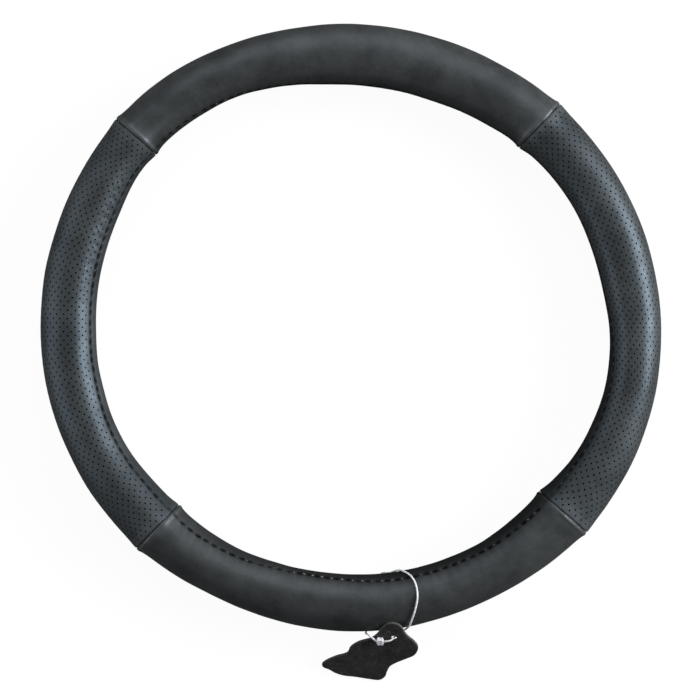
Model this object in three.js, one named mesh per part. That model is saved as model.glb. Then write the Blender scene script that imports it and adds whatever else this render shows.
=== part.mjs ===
// Steering wheel cover, lying on a table with its front up: a rubber carrier of C section,
// four leather panels sewn end to end round it, and a leather tag hung on a plastic loop.
// Millimetres, +Z up. The origin is on the table, under the middle of the ring.
// A direction is in degrees round the ring from +X, and a turn is in degrees round its section:
// 0 points at the ring's middle, 90 up, 180 outward and 270 down.

import * as THREE from 'three';

// The ring's oval, seen from above
const RING_LONG = 386;
const RING_SHORT = 375;
const LONG_DIRECTION = 157;
const SEAMS = [46.8, 138.4, 225.9, 319.1];

// What the soft ring does besides, where it lies: [direction, millimetres or degrees]
const EDGE_SHIFT = [
  [0, 0.5], [40, 0.9], [70, 0], [104, -0.2], [130, 1.6], [160, -0.5], [180, 0],
  [190, 0.7], [220, 1.7], [247, -0.7], [268, 0.1], [298, -1.5], [325, 0.7],
];
const EXTRA_WIDTH = [
  [0, -1.7], [13, 0.2], [30, -0.4], [75, 4.3], [92, 3.6], [116, -2], [126, -2.2], [141, -2.5],
  [158, 0], [180, 1], [205, 0.7], [222, 3], [243, 0.2], [268, 2.6], [299, 1.6], [318, 4.8],
  [337, -0.4], [350, -2.6],
];
const FRONT_LIP = [
  [2, -12], [20, -13], [75, -12], [97, -13], [115, -10], [132, -6], [150, 8],
  [165, 14], [245, 15], [262, 17], [300, 25], [322, 27], [332, 22], [350, 2],
];

// How much further up the face the front stitches run than the rear ones: [direction, millimetres]
const EXTRA_INSET = [
  [10, 4], [60, 2], [110, 3], [130, 5.8], [152, 3.7], [185, 3], [205, 4.4], [218, 5.2], [232, 7],
  [244, 5.4], [262, 1.6], [280, 3.9], [300, 4], [316, 4.3], [328, 2.2], [343, 4.4], [357, 6],
];

// Section
const SECTION_WIDTH = 34;
const SECTION_HEIGHT = 35;
const FOOT_WIDTH = 4.4;         // flat, where the ring bears on the table
const LEATHER = 1.3;
const RUBBER = 2;
const FIT = 0.3;                // between pieces that touch
const MOUTH_WIDTH = 14;         // between the middles of the rubber's two lips
const HEM = 5;                  // leather turned over the lip and laid inside

// Sewing
const STITCH_PITCH = 5.9;
const STITCH_INSET = 6;         // from the lip's tip, along the leather
const STITCH_DEPTH = 0.75;      // where a stitch pulls the leather in
const PUCKER_DEPTH = 0.2;       // between two stitches
const SHOULDER = 2.8;           // from the stitches to where the leather is full again
const SEAM_SWELL = 0.9;         // over the allowances turned in at a seam
const SEAM_REACH = 6;
const SEAM_DIP = 0.7;           // the panel's edge, drawn down into the seam
const SEAM_ROUND = 1;

// Loop and leather tag. On the tag, s runs along its lower edge and t up its slope.
const LOOP_DIRECTION = 281;
const LOOP_DIAMETER = 1.1;
const LOOP_ROOM = 0.7;              // under the ring, besides the loop's thickness
const LIFT = LOOP_DIAMETER + LOOP_ROOM;
const LIFT_DIRECTION = 276.6;       // where the ring rides up over the loop
const LIFT_FLAT = 3.5;
const LIFT_RUN = 12;
const TAG_LEATHER = 1.8;
const TAG_BEARING = 262.15;         // the way it slopes down from the ring
const TAG_TIP = { s: -0.5, t: 50.9 };
const TIP_SHIFT = -8.4;             // tip along the ring, from the loop's direction
const TIP_TURN = 132;               // where the tip leans on the section
const TIP_ROOM = 0.5;
const HOLE = { s: 1.8, t: 38.6 };
const HOLE_DIAMETER = 3.6;
const LOCK = { s: -6.4, t: 36 };
const LOCK_SIZE = { along: 4.4, across: 4, high: 3, round: 0.8 };
const LOCK_TURN = 188;              // the way the loop's first end leaves the lock

// The loop's way round the section, outside, under, through the mouth and over:
// [turn, millimetres along the ring from its direction, gap to the leather]
const LOOP_ROUND = [
  [183, -24.3, 0.7], [205, -23.4, 0.4], [227, -22, 0.4], [248, -20.4, 0.4], [270, -18.6, 0.4],
  [290, -16.6, 0.4], [308, -14.6, 0.4], [324, -12.4, 0.4], [338, -9.9, -0.7], [350, -7.2, -1.9],
  [361, -4.6, -1.9], [371, -2.2, -0.9], [381, 1.2, 0.4], [393, 4.9, 0.4], [405, 7.7, 0.4],
  [420, 9.4, 0.4], [436, 9.6, 0.4], [451, 8.7, 0.4], [465, 6.9, 0.4], [479, 4.8, 0.5],
  [495, 2.4, 0.7], [510, 0.3, 1.2],
];
// From the lock over the tag's edge, and from behind the tag up through its hole:
// [s, t, height over the tag's back]
const LOOP_START = [[-11.4, 37.6, 3.3], [-13.9, 38, 1.7], [-15.4, 36.4, -1.2]];
const LOOP_END = [[7.4, 42.4, -2.6], [4, 39.7, -1.6], [1.9, 38.6, 0.8], [-0.1, 37.6, 3.1]];

// Fineness
const PANEL_STEPS = 13;
const SKIN_STEPS = 12;
const UNDER_STEPS = 3;
const LINING_STEPS = 9;
const LOOP_STEPS = 62;

const rad = THREE.MathUtils.degToRad;
const deg = THREE.MathUtils.radToDeg;
const { lerp, euclideanModulo, smoothstep } = THREE.MathUtils;

// Angles of the section that follow from its sizes
const LIP_DEPTH = LEATHER + FIT + RUBBER / 2;
const LIP_REACH = LIP_DEPTH;
const HALF_HEIGHT = SECTION_HEIGHT / 2;
const mouthTurn = 2 * deg(Math.asin(MOUTH_WIDTH / 2 / (HALF_HEIGHT - LIP_DEPTH)));
const footTurn = deg(Math.asin(FOOT_WIDTH / SECTION_WIDTH));
const stitchTurn = (inset) => deg((inset - LIP_REACH) / HALF_HEIGHT);
const shoulderTurn = deg(SHOULDER / HALF_HEIGHT);
const hemTurn = deg(HEM / (HALF_HEIGHT - LIP_DEPTH - LIP_REACH));

// A closed curve through [direction, amount] stations, level at each high and low one
function along(stations, direction) {
  const count = stations.length;
  const station = (i) => {
    const turns = Math.floor(i / count);
    const [at, amount] = stations[i - turns * count];
    return { at: at + 360 * turns, amount };
  };
  const here = euclideanModulo(direction, 360);
  const found = stations.findIndex(([at]) => at > here);
  const past = found < 0 ? count : found;
  const [before, start, end, after] = [past - 2, past - 1, past, past + 1].map(station);
  const slope = (p, q) => (q.amount - p.amount) / (q.at - p.at);
  const blend = (a, b) => (a * b > 0 ? (2 * a * b) / (a + b) : 0);
  const span = end.at - start.at;
  const k = (here - start.at) / span;
  const leaving = blend(slope(before, start), slope(start, end)) * span;
  const coming = blend(slope(start, end), slope(end, after)) * span;
  const eased = k * k * (3 - 2 * k);
  const swing = leaving * k * (1 - k) ** 2 - coming * k * k * (1 - k);
  return lerp(start.amount, end.amount, eased) + swing;
}

const apart = (a, b) => Math.abs(euclideanModulo(a - b + 180, 360) - 180);

// The ring's section in one direction
function sliceAt(direction) {
  const mean = (RING_LONG + RING_SHORT) / 4;
  const oval = (RING_LONG - RING_SHORT) / 4;
  const edge = mean + oval * Math.cos(2 * rad(direction - LONG_DIRECTION));
  const outside = edge + along(EDGE_SHIFT, direction);
  const halfWidth = (SECTION_WIDTH + along(EXTRA_WIDTH, direction)) / 2;
  const middle = outside - halfWidth;
  const fromLift = apart(direction, LIFT_DIRECTION);
  const floor = LIFT * (1 - smoothstep(fromLift, LIFT_FLAT, LIFT_FLAT + LIFT_RUN));
  const frontLip = along(FRONT_LIP, direction);
  const toSeam = Math.min(...SEAMS.map((seam) => rad(apart(direction, seam)) * middle)) - FIT / 2;
  return {
    direction,
    halfWidth,
    middle,
    floor,
    height: floor + HALF_HEIGHT * Math.cos(rad(footTurn)),
    frontLip,
    rearLip: frontLip + 360 - mouthTurn,
    frontStitch: frontLip + stitchTurn(STITCH_INSET + along(EXTRA_INSET, direction)),
    rearStitch: frontLip + 360 - mouthTurn - stitchTurn(STITCH_INSET),
    swell: SEAM_SWELL * Math.exp(-((toSeam / SEAM_REACH) ** 2)),
    dip: SEAM_DIP * Math.max(0, 1 - toSeam / SEAM_ROUND) ** 2,
  };
}

function upright(slice, radius, height) {
  const angle = rad(slice.direction);
  return new THREE.Vector3(radius * Math.cos(angle), radius * Math.sin(angle), height);
}

// A point `depth` under the leather's face
function onSection(slice, turn, depth) {
  const radius = slice.middle - (slice.halfWidth - depth) * Math.cos(rad(turn));
  const height = slice.height + (HALF_HEIGHT - depth) * Math.sin(rad(turn));
  return upright(slice, radius, height);
}

// A point `reach` from the middle of a lip. Swing 0 faces outward, 90 into the mouth, 180 inward;
// side is -1 at the front lip and 1 at the rear one.
function aroundLip(slice, turn, side, reach, swing) {
  const [c, s] = [Math.cos(rad(turn)), Math.sin(rad(turn))];
  const [out, over] = [reach * Math.cos(rad(swing)), side * reach * Math.sin(rad(swing))];
  const radius = slice.middle - (slice.halfWidth - LIP_DEPTH) * c - out * c + over * s;
  const height = slice.height + (HALF_HEIGHT - LIP_DEPTH) * s + out * s + over * c;
  return upright(slice, radius, height);
}

// A closed body through rows of points, each row running along the ring and the rows following
// each other round the section. Rows may have different steps. Its ends are filled, or it is
// joined to itself.
function bodyOfRows(rows, joined) {
  const positions = [];
  const triangles = [];
  const indexed = rows.map((row) => {
    const first = positions.length / 3;
    const entries = row.map(({ direction, point }, i) => {
      positions.push(point.x, point.y, point.z);
      return { direction, point, index: first + i };
    });
    return joined ? [...entries, { ...entries[0], direction: entries[0].direction + 360 }] : entries;
  });
  indexed.forEach((row, r) => {
    const next = indexed[(r + 1) % indexed.length];
    let [i, j] = [0, 0];
    while (i < row.length - 1 || j < next.length - 1) {
      const canRow = i < row.length - 1;
      const canNext = j < next.length - 1;
      const acrossRow = canRow ? row[i + 1].point.distanceTo(next[j].point) : Infinity;
      const acrossNext = canNext ? next[j + 1].point.distanceTo(row[i].point) : Infinity;
      if (acrossRow <= acrossNext) {
        triangles.push(row[i + 1].index, row[i].index, next[j].index);
        i += 1;
      } else {
        triangles.push(next[j + 1].index, row[i].index, next[j].index);
        j += 1;
      }
    }
  });
  if (!joined) {
    for (const [end, turned] of [[0, false], [-1, true]]) {
      const loop = indexed.map((row) => row.at(end));
      const outline = loop.map(({ point }) => new THREE.Vector2(Math.hypot(point.x, point.y), point.z));
      for (const [a, b, c] of THREE.ShapeUtils.triangulateShape(outline, [])) {
        const face = [loop[a].index, loop[b].index, loop[c].index];
        triangles.push(...(turned ? face.reverse() : face));
      }
    }
  }
  const geometry = new THREE.BufferGeometry();
  geometry.setAttribute('position', new THREE.Float32BufferAttribute(positions, 3));
  geometry.setIndex(triangles);
  geometry.computeVertexNormals();
  return geometry;
}

// Turns of the faces where leather and rubber meet: a corner at each lip and each hem's edge
const LINING_CORNERS = LINING_STEPS + 3;
function liningTurn(slice, corner) {
  if (corner === 0) {
    return slice.frontLip;
  }
  if (corner === LINING_CORNERS - 1) {
    return slice.rearLip;
  }
  return lerp(slice.frontLip + hemTurn, slice.rearLip - hemTurn, (corner - 1) / LINING_STEPS);
}

// A row of points, kept up off the table
function rowOf(slices, pointAt) {
  return slices.map((slice) => {
    const point = pointAt(slice);
    return { direction: slice.direction, point: point.setZ(Math.max(point.z, slice.floor)) };
  });
}

// Evenly spaced slices of a panel, short of its two seams
function openSlices(from, to) {
  const margin = deg(SEAM_REACH / sliceAt(from).middle);
  const steps = Array.from({ length: PANEL_STEPS + 1 }, (_, i) => i / PANEL_STEPS);
  return steps.map((k) => sliceAt(lerp(from + margin, to - margin, k)));
}

// One leather panel: face, turned lips with their stitches drawn in, and the hems inside
function panel(from, to) {
  const gap = deg(FIT / 2 / sliceAt(from).middle);
  const round = deg(SEAM_ROUND / sliceAt(from).middle);
  const ends = [from + gap, from + gap + round, to - gap - round, to - gap].map(sliceAt);
  const slices = [...ends.slice(0, 2), ...openSlices(from, to), ...ends.slice(2)];
  const stitches = Math.round((rad(to - from) * (sliceAt(from).middle - HALF_HEIGHT)) / STITCH_PITCH);
  const stitched = Array.from({ length: 2 * stitches + 1 }, (_, i) => ({
    ...sliceAt(lerp(from + gap, to - gap, i / (2 * stitches))),
    drawn: i % 2 ? STITCH_DEPTH : PUCKER_DEPTH,
  }));
  const rows = [];
  const add = (pointAt) => rows.push(rowOf(slices, pointAt));
  const addStitches = (turnOf) => rows.push(rowOf(stitched, (s) => onSection(s, turnOf(s), s.drawn + s.dip)));

  // Front hem, lip and stitches
  add((s) => onSection(s, s.frontLip + hemTurn, LIP_DEPTH + LIP_REACH));
  for (const swing of [180, 120, 60, 0]) {
    add((s) => aroundLip(s, s.frontLip, -1, LIP_REACH - s.dip, swing));
  }
  add((s) => onSection(s, lerp(s.frontLip, s.frontStitch, 0.5), s.dip));
  addStitches((s) => s.frontStitch);

  // Face, from the front shoulder over the outside to the foot, then under to the rear lip
  for (let i = 0; i <= SKIN_STEPS; i += 1) {
    const turnOf = (s) => lerp(s.frontStitch + shoulderTurn, 270 - footTurn, i / SKIN_STEPS);
    const share = i === 0 ? 0.5 : 1;
    add((s) => onSection(s, turnOf(s), s.dip - s.swell * share));
  }
  for (let i = 0; i < UNDER_STEPS; i += 1) {
    const k = i / UNDER_STEPS;
    add((s) => onSection(s, lerp(270 + footTurn, s.rearStitch, k), s.dip - s.swell * (1 - k)));
  }

  // Rear stitches, lip and hem
  addStitches((s) => s.rearStitch);
  for (const swing of [0, 60, 120, 180]) {
    add((s) => aroundLip(s, s.rearLip, 1, LIP_REACH - s.dip, swing));
  }
  add((s) => onSection(s, s.rearLip - hemTurn, LIP_DEPTH + LIP_REACH));
  add((s) => onSection(s, s.rearLip - hemTurn, LIP_DEPTH + LIP_REACH - LEATHER));

  // Inside of the leather, back round the rubber
  for (const swing of [180, 90, 0]) {
    add((s) => aroundLip(s, s.rearLip, 1, LIP_REACH - LEATHER, swing));
  }
  for (let corner = LINING_CORNERS - 2; corner > 0; corner -= 1) {
    add((s) => onSection(s, liningTurn(s, corner), LEATHER));
  }
  for (const swing of [0, 90, 180]) {
    add((s) => aroundLip(s, s.frontLip, -1, LIP_REACH - LEATHER, swing));
  }
  add((s) => onSection(s, s.frontLip + hemTurn, LIP_DEPTH + LIP_REACH - LEATHER));
  return bodyOfRows(rows, false);
}

// The rubber carrier, in one piece all round
function carrier() {
  const slices = SEAMS.flatMap((seam, i) => {
    const next = SEAMS[i + 1] ?? SEAMS[0] + 360;
    return [sliceAt(seam), ...openSlices(seam, next)];
  });
  const rows = [];
  const add = (pointAt) => rows.push(rowOf(slices, pointAt));
  const wall = (corner, depth) => add((s) => onSection(s, liningTurn(s, corner), depth));
  for (let corner = 0; corner < LINING_CORNERS; corner += 1) {
    wall(corner, LEATHER + FIT);
  }
  add((s) => aroundLip(s, s.rearLip, 1, RUBBER / 2, 90));
  for (let corner = LINING_CORNERS - 1; corner >= 0; corner -= 1) {
    wall(corner, LEATHER + FIT + RUBBER);
  }
  add((s) => aroundLip(s, s.frontLip, -1, RUBBER / 2, 90));
  return bodyOfRows(rows, true);
}

// A point near the section, `clear` off its face and `shift` along the ring from the loop's direction
function nearRing(turn, shift, clear) {
  const middle = sliceAt(LOOP_DIRECTION).middle;
  return onSection(sliceAt(LOOP_DIRECTION + deg(shift / middle)), turn, -clear);
}

// The tag's own frame: s along its lower edge, t up its slope, h out of its face
const tagFrame = (() => {
  const tip = nearRing(TIP_TURN, TIP_SHIFT, TIP_ROOM);
  const lean = Math.asin(tip.z / TAG_TIP.t);
  const downhill = rad(TAG_BEARING);
  const s = new THREE.Vector3(-Math.sin(downhill), Math.cos(downhill), 0);
  const level = new THREE.Vector3(-Math.cos(downhill), -Math.sin(downhill), 0);
  const t = level.multiplyScalar(Math.cos(lean)).setZ(Math.sin(lean));
  const h = new THREE.Vector3().crossVectors(s, t);
  const corner = tip.addScaledVector(s, -TAG_TIP.s).addScaledVector(t, -TAG_TIP.t);
  return new THREE.Matrix4().makeBasis(s, t, h).setPosition(corner);
})();

const onTag = (s, t, h) => new THREE.Vector3(s, t, h).applyMatrix4(tagFrame);

// Leather tag, cut to the outline of a hide
function leatherTag() {
  const outline = [
    [TAG_TIP.s, TAG_TIP.t], [3.2, 50.2], [5.8, 48], [7.4, 44.9], [10, 41.6], [14.4, 38.3],
    [17.4, 34.2], [16.2, 27.8], [11, 22.5], [6, 18.2], [2.2, 13.9], [0.8, 8.8], [0.1, 4.4],
    [-3, 0.8], [-10, 0.3], [-18, 0.5], [-26, 0.3], [-31, 1.5], [-35.4, 3.8], [-38.8, 5],
    [-40, 7.2], [-38.2, 10.6], [-32, 16.1], [-25.5, 20.3],
    [-24, 25.7], [-19.3, 31], [-12, 35.5], [-9, 39.6], [-6.5, 45.5], [-3.8, 49.6],
  ];
  const edge = new THREE.CatmullRomCurve3(outline.map(([s, t]) => new THREE.Vector3(s, t, 0)), true);
  const around = edge.getPoints(2 * outline.length).slice(1);
  const shape = new THREE.Shape(around.map(({ x, y }) => new THREE.Vector2(x, y)));
  shape.holes.push(new THREE.Path().absarc(HOLE.s, HOLE.t, HOLE_DIAMETER / 2, 0, 2 * Math.PI));
  return new THREE.ExtrudeGeometry(shape, { depth: TAG_LEATHER, bevelEnabled: false, curveSegments: 6 });
}

// Lock of the loop: a small block with round edges, lying on the tag
function lock() {
  const bevel = LOCK_SIZE.round;
  const [x, y] = [LOCK_SIZE.along / 2 - bevel, LOCK_SIZE.across / 2 - bevel];
  const corners = [[-x, -y], [x, -y], [x, y], [-x, y]];
  const shape = new THREE.Shape(corners.map(([a, b]) => new THREE.Vector2(a, b)));
  const geometry = new THREE.ExtrudeGeometry(shape, {
    depth: LOCK_SIZE.high - 2 * bevel, bevelThickness: bevel, bevelSize: bevel, bevelSegments: 2,
  });
  return geometry.translate(0, 0, bevel - LOCK_SIZE.high / 2);
}

const lockHeight = TAG_LEATHER + FIT + LOCK_SIZE.high / 2;
function besideLock(side) {
  const away = side * (LOCK_SIZE.along / 2 + FIT);
  const turn = rad(LOCK_TURN);
  return onTag(LOCK.s + away * Math.cos(turn), LOCK.t + away * Math.sin(turn), lockHeight);
}

// The plastic loop: from the lock down behind the ring, under it, up inside and over it, then
// up through the tag's hole and back to the lock
function loop() {
  const radius = LOOP_DIAMETER / 2;
  const points = [
    besideLock(1),
    ...LOOP_START.map(([s, t, h]) => onTag(s, t, h)),
    ...LOOP_ROUND.map(([turn, shift, gap]) => nearRing(turn, shift, gap + radius)),
    ...LOOP_END.map(([s, t, h]) => onTag(s, t, h)),
    besideLock(-1),
  ];
  for (const point of points) {
    point.z = Math.max(point.z, radius + LOOP_ROOM / 10);
  }
  const section = new THREE.Shape().absarc(0, 0, radius, 0, 2 * Math.PI);
  return new THREE.ExtrudeGeometry(section, {
    steps: LOOP_STEPS, curveSegments: 4, extrudePath: new THREE.CatmullRomCurve3(points),
  });
}

// Materials
const finish = (color, roughness) => new THREE.MeshStandardMaterial({ color, roughness, metalness: 0 });
const smoothLeather = finish(0x2b2e2f, 0.5);
const piercedLeather = finish(0x30353a, 0.45);
const rubber = finish(0x161616, 0.85);
const suedeLeather = finish(0x141414, 0.95);
const clearPlastic = finish(0xd8dadb, 0.35);

const cover = new THREE.Group();
function piece(name, geometry, material) {
  const mesh = new THREE.Mesh(geometry, material);
  mesh.name = name;
  cover.add(mesh);
  return mesh;
}

piece('inner_ring', carrier(), rubber);
const [upperRight, upperLeft, lowerLeft, lowerRight] = SEAMS;
piece('top_panel', panel(upperRight, upperLeft), smoothLeather);
piece('left_panel', panel(upperLeft, lowerLeft), piercedLeather);
piece('bottom_panel', panel(lowerLeft, lowerRight), smoothLeather);
piece('right_panel', panel(lowerRight, upperRight + 360), piercedLeather);
piece('tag_string', loop(), clearPlastic);

const tagMesh = piece('tag_leather', leatherTag(), suedeLeather);
tagMesh.applyMatrix4(tagFrame);
const lockMesh = piece('tag_lock', lock(), clearPlastic);
lockMesh.rotateZ(rad(LOCK_TURN)).position.set(LOCK.s, LOCK.t, lockHeight);
lockMesh.updateMatrix();
lockMesh.applyMatrix4(tagFrame);

export default cover;
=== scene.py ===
# Steering wheel cover, lying on a table with its front up: pierced and smooth leather panels
# sewn over a rubber carrier, and a sueded leather tag on a plastic loop.
# Sizes are in millimetres and are placed in metres. A direction is in degrees round the ring
# from +X. A turn is in degrees round its section: 0 points at the ring's middle, 90 up,
# 180 outward and 270 down.

import math
import random

import bmesh
import bpy
import numpy as np
from mathutils import Matrix, Vector


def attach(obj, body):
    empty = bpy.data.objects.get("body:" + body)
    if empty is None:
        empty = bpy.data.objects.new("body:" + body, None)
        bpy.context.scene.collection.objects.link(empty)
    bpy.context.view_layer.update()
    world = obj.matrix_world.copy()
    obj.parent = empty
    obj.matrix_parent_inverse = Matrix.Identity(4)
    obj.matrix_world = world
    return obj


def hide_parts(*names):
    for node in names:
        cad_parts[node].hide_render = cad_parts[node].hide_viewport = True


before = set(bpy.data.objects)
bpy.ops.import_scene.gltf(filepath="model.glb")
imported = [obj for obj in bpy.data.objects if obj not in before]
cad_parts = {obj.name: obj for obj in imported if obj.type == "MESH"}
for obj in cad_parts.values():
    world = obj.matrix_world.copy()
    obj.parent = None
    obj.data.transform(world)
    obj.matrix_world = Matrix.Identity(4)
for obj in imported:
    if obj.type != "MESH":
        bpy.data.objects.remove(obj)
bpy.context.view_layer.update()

MM = 0.001

# The ring's oval, seen from above
RING_LONG = 386
RING_SHORT = 375
LONG_DIRECTION = 157
SEAMS = [46.8, 138.4, 225.9, 319.1]

# What the soft ring does besides, where it lies: [direction, millimetres or degrees]
EDGE_SHIFT = [
    [0, 0.5], [40, 0.9], [70, 0], [104, -0.2], [130, 1.6], [160, -0.5], [180, 0],
    [190, 0.7], [220, 1.7], [247, -0.7], [268, 0.1], [298, -1.5], [325, 0.7],
]
EXTRA_WIDTH = [
    [0, -1.7], [13, 0.2], [30, -0.4], [75, 4.3], [92, 3.6], [116, -2], [126, -2.2], [141, -2.5],
    [158, 0], [180, 1], [205, 0.7], [222, 3], [243, 0.2], [268, 2.6], [299, 1.6], [318, 4.8],
    [337, -0.4], [350, -2.6],
]
FRONT_LIP = [
    [2, -12], [20, -13], [75, -12], [97, -13], [115, -10], [132, -6], [150, 8],
    [165, 14], [245, 15], [262, 17], [300, 25], [322, 27], [332, 22], [350, 2],
]

# How much further up the face the front stitches run than the rear ones: [direction, millimetres]
EXTRA_INSET = [
    [10, 4], [60, 2], [110, 3], [130, 5.8], [152, 3.7], [185, 3], [205, 4.4], [218, 5.2], [232, 7],
    [244, 5.4], [262, 1.6], [280, 3.9], [300, 4], [316, 4.3], [328, 2.2], [343, 4.4], [357, 6],
]

# Section
SECTION_WIDTH = 34
SECTION_HEIGHT = 35
FOOT_WIDTH = 4.4
LEATHER = 1.3
RUBBER = 2
FIT = 0.3
MOUTH_WIDTH = 14
HEM = 5

# Stitches along the lips. They drift along their row and stray across it.
STITCH_PITCH = 5.9
STITCH_INSET = 6
STITCH_DEPTH = 0.7
STITCH_DRIFT = 0.85
STITCH_STRAY = 0.35
DENT_LENGTH = 1.5
DENT_WIDTH = 0.9
GROOVE_DEPTH = 0.3
GROOVE_WIDTH = 1.2
SWELL_HEIGHT = 0.5
SWELL_AT = 12.5
SWELL_WIDTH = 5
THREAD_LENGTH = 2.4
THREAD_WIDTH = 0.8
THREAD_HEIGHT = 0.6
THREAD_SAG = 0.8

# Gathers that the stitches push up: height and how far they run into the face
SMOOTH_GATHERS = (0.16, 5)
PIERCED_GATHERS = (0.04, 6.5)
CRUMPLED_GATHERS = 0.1

# Seams between the panels. The smooth leather has a ridge beside them, over its allowance.
SEAM_SWELL = 0.9
SEAM_REACH = 6
SEAM_RIDGE = 0.42
RIDGE_AT = 1.9
RIDGE_WIDTH = 1.1
SEAM_ROLL = 0.42
SEAM_GAP = 0.05
SEAM_SWAY = 0.22
SWAY_REACH = 8
SEAM_PITCH = 3.2
TUCK_DEPTH = 0.12
TUCK_AT = 0.5
TUCK_WIDTH = 0.45
PULL_HEIGHT = 0.14
PULL_PITCH = 7.5
PULL_REACH = 7

# Soft unevenness of the leather's face
WAVE_HEIGHT = 0.28
SMOOTH_DIMPLES = 0.08
PIERCED_DIMPLES = 0.03
CREASE_HEIGHT = 0.27
CREASES_AT = 5
CREASES_WIDTH = 5

# Where the leather is crumpled, its stitches are tightest and the painted shade on its lip is lifted,
# and where the thread has a painted highlight: direction and reach
CRUMPLED = (153, 17)
TIGHTEST = (172, 30)
LIP_SHADE_LIFTED = (192, 52)
THREAD_HIGHLIGHT = (266, 13)

# Kinds of unevenness: size, and where the random draws start
UNEVEN = {
    "waves": (42, 3), "dimples": (13, 21), "creases": (3.8, 51), "sway": (11, 70), "pull": (60, 8),
    "stray": (19, 7), "tug": (17, 6), "gathers": (40, 5), "lean": (30, 9),
}
NEEDLE_DRAWS = {"front": 11, "rear": 31}

# Holes pierced through the left and right panels
HOLE_COLUMNS = 100
HOLE_ROWS = 31
HOLE_CELL_INSET = 0.77
HOLE_WALL = 0.05
HOLE_DEPTH = 1.05

# Loop and leather tag. On the tag, s runs along its lower edge and t up its slope.
LOOP_DIRECTION = 281
LOOP_DIAMETER = 1.1
LOOP_ROOM = 0.7
LOOP_OFF_TABLE = 0.07
LIFT = LOOP_DIAMETER + LOOP_ROOM
LIFT_DIRECTION = 276.6
LIFT_FLAT = 3.5
LIFT_RUN = 12
TAG_LEATHER = 1.8
TAG_MIDDLE = -10
TAG_CUP = 0.0016
TAG_BEVEL = 0.3
TAG_BEARING = 262.15
TAG_TIP = [-0.5, 50.9]
TIP_SHIFT = -8.4
TIP_TURN = 132
TIP_ROOM = 0.5
TAG_OUTLINE = [
    [-0.5, 50.9], [3.2, 50.2], [5.8, 48], [7.4, 44.9], [10, 41.6], [14.4, 38.3],
    [17.4, 34.2], [16.2, 27.8], [11, 22.5], [6, 18.2], [2.2, 13.9], [0.8, 8.8], [0.1, 4.4],
    [-3, 0.8], [-10, 0.3], [-18, 0.5], [-26, 0.3], [-31, 1.5], [-35.4, 3.8], [-38.8, 5],
    [-40, 7.2], [-38.2, 10.6], [-32, 16.1], [-25.5, 20.3],
    [-24, 25.7], [-19.3, 31], [-12, 35.5], [-9, 39.6], [-6.5, 45.5], [-3.8, 49.6],
]
HOLE = [1.8, 38.6]
HOLE_DIAMETER = 3.6
LOCK = [-6.4, 36]
LOCK_ALONG = 4.4
LOCK_ACROSS = 4
LOCK_HIGH = 3
LOCK_TURN = 188
LOCK_END = 0.5
LOCK_COLLAR = 0.75
LOCK_WAIST = 0.8
WAIST_DEPTH = 0.14
LOCK_TAPER = 0.1
LOCK_BEVEL = 0.16
LOOP_ROUND = [
    [183, -24.3, 0.7], [205, -23.4, 0.4], [227, -22, 0.4], [248, -20.4, 0.4], [270, -18.6, 0.4],
    [290, -16.6, 0.4], [308, -14.6, 0.4], [324, -12.4, 0.4], [338, -9.9, -0.7], [350, -7.2, -1.9],
    [361, -4.6, -1.9], [371, -2.2, -0.9], [381, 1.2, 0.4], [393, 4.9, 0.4], [405, 7.7, 0.4],
    [420, 9.4, 0.4], [436, 9.6, 0.4], [451, 8.7, 0.4], [465, 6.9, 0.4], [479, 4.8, 0.5],
    [495, 2.4, 0.7], [510, 0.3, 1.2],
]
LOOP_START = [[-11.4, 37.6, 3.3], [-13.9, 38, 1.7], [-15.4, 36.4, -1.2]]
LOOP_END = [[7.4, 42.4, -2.6], [4, 39.7, -1.6], [1.9, 38.6, 0.8], [-0.1, 37.6, 3.1]]

# Sizes and angles that follow
LIP_DEPTH = LEATHER + FIT + RUBBER / 2
LIP_REACH = LIP_DEPTH
HALF_HEIGHT = SECTION_HEIGHT / 2
MOUTH_TURN = 2 * math.degrees(math.asin(MOUTH_WIDTH / 2 / (HALF_HEIGHT - LIP_DEPTH)))
FOOT_TURN = math.degrees(math.asin(FOOT_WIDTH / SECTION_WIDTH))
HEM_TURN = math.degrees(HEM / (HALF_HEIGHT - LIP_DEPTH - LIP_REACH))
LIP_ARC = math.pi * LIP_REACH
FACE_ARC = math.radians(360 - MOUTH_TURN) * HALF_HEIGHT
MEAN_RADIUS = (RING_LONG + RING_SHORT) / 4 - SECTION_WIDTH / 2
LOCK_HEIGHT = TAG_LEATHER + FIT + LOCK_HIGH / 2

# Where the leather's path across the ring changes, from the front hem's edge to the rear one's
FRONT_LIP_START = HEM
FACE_START = HEM + LIP_ARC
FACE_END = FACE_START + FACE_ARC
REAR_LIP_END = FACE_END + LIP_ARC
PATH_END = REAR_LIP_END + HEM
FRONT_STITCHES = FACE_START + STITCH_INSET - LIP_REACH
REAR_STITCHES = FACE_END - STITCH_INSET + LIP_REACH


# The ring's form

def along(stations, direction):
    """A closed curve through [direction, amount] stations, level at each high and low one."""
    at = np.array([station[0] for station in stations], float)
    amount = np.array([station[1] for station in stations], float)
    count = len(stations)
    here = np.mod(direction, 360)
    past = np.searchsorted(at, here, side="right")

    def station(index):
        turns = index // count
        return at[index % count] + 360 * turns, amount[index % count]

    (a0, v0), (a1, v1), (a2, v2), (a3, v3) = (station(past + i) for i in (-2, -1, 0, 1))
    slopes = [(v1 - v0) / (a1 - a0), (v2 - v1) / (a2 - a1), (v3 - v2) / (a3 - a2)]

    def blend(p, q):
        same = p * q > 0
        return np.where(same, 2 * p * q / np.where(same, p + q, 1), 0)

    span = a2 - a1
    k = (here - a1) / span
    leaving = blend(slopes[0], slopes[1]) * span
    coming = blend(slopes[1], slopes[2]) * span
    eased = k * k * (3 - 2 * k)
    swing = leaving * k * (1 - k) ** 2 - coming * k * k * (1 - k)
    return v1 + (v2 - v1) * eased + swing


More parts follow.
